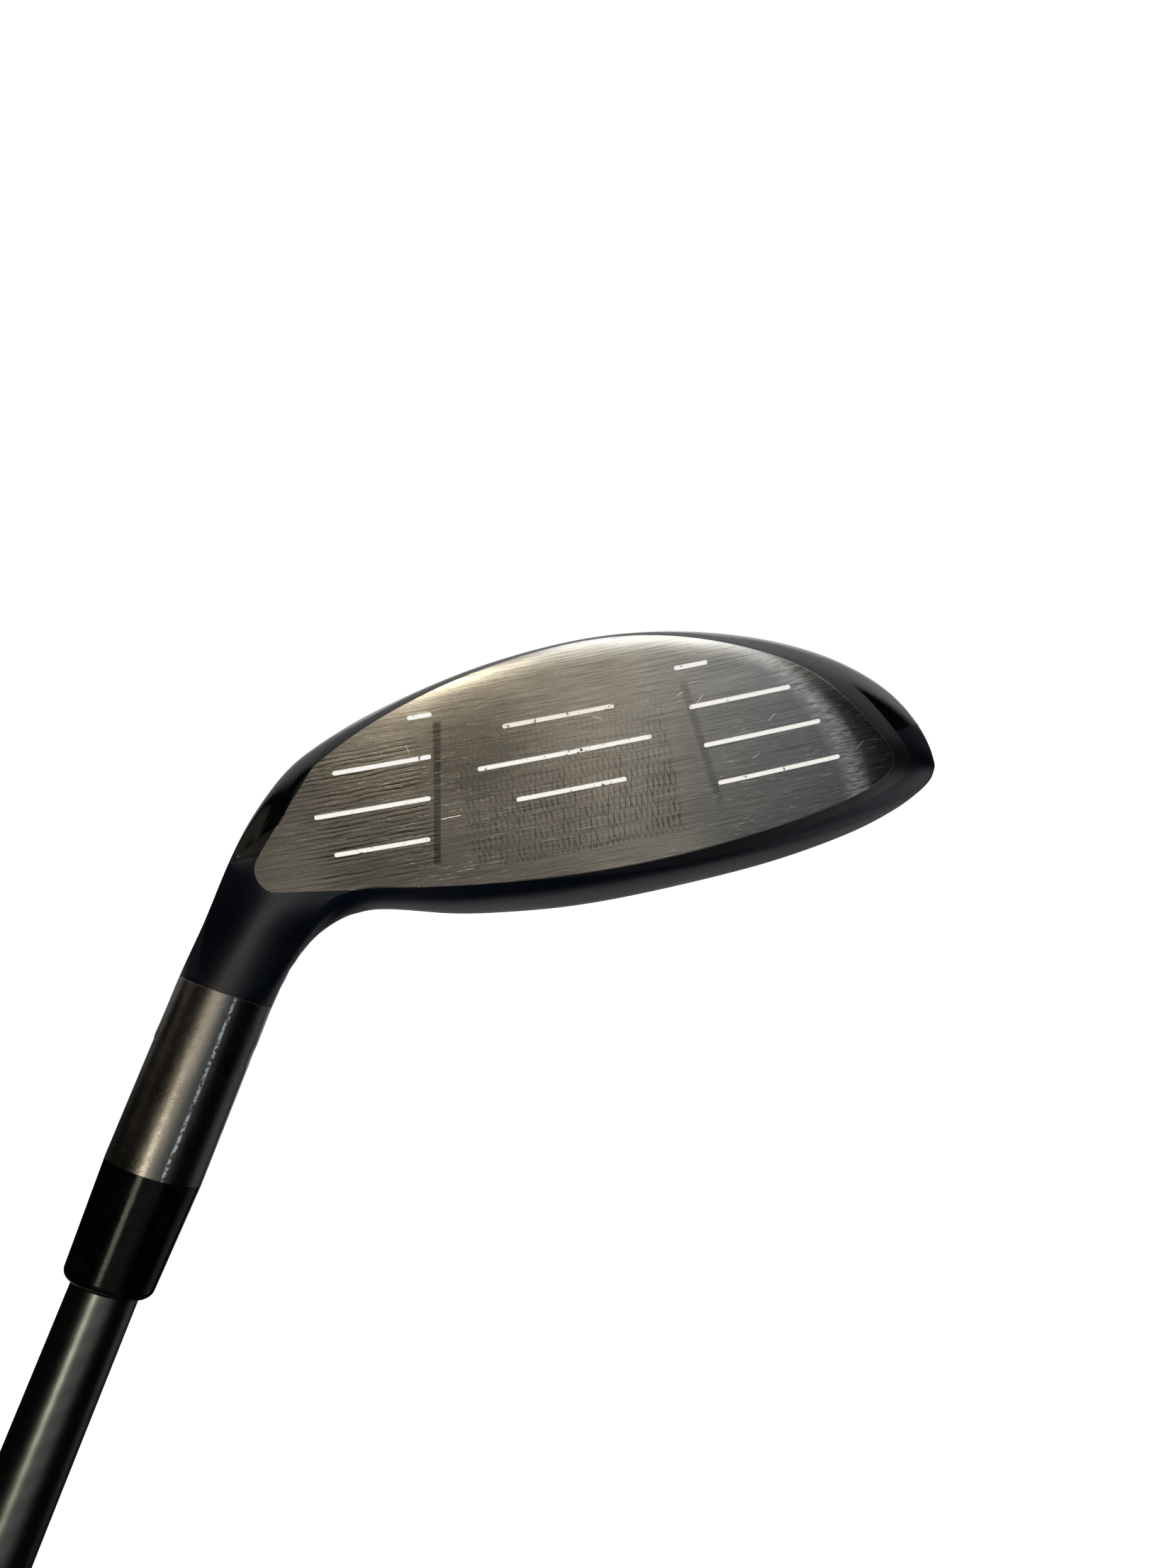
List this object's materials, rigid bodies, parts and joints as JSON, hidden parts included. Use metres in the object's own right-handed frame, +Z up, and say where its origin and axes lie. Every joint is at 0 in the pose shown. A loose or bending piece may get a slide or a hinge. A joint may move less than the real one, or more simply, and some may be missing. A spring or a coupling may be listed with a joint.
{
  "type": "hybrid golf club",
  "caption": "Right-handed hybrid golf club with a hollow steel head, brushed face with scorelines, bonded carbon shaft and slip-on grip.",
  "frame": {"origin": "middle of the flat on the sole that the head rests on, under the heel-toe and front-back middle of the sole", "axes": "+Z up with the club at address, +Y along the target line out of the face, +X from heel to toe; the shaft rises toward -X at the 60 degree lie"},
  "size_m": [0.605, 0.0609, 0.8722],
  "materials": {
    "painted_steel": "very dark navy satin paint, gloss black on the sole, bare steel band on the hosel",
    "brushed_face": "brushed, milled texture between the scorelines",
    "bare_steel": "satin",
    "carbon_shaft": "gloss clear coat over dark charcoal",
    "soft_plastic": "plain",
    "black_plastic": "polished black",
    "tape": "double-sided paper tape",
    "grip_rubber": "matt, fine texture"
  },
  "bodies": {
    "root": {"head_body": "painted_steel", "face_insert": "brushed_face", "crown_cover": "painted_steel", "sole_weight": "bare_steel", "shaft": "carbon_shaft", "tip_plug": "soft_plastic", "ferrule": "black_plastic", "grip_tape": "tape", "grip": "grip_rubber", "grip_cap": "grip_rubber"}
  },
  "joints": []
}
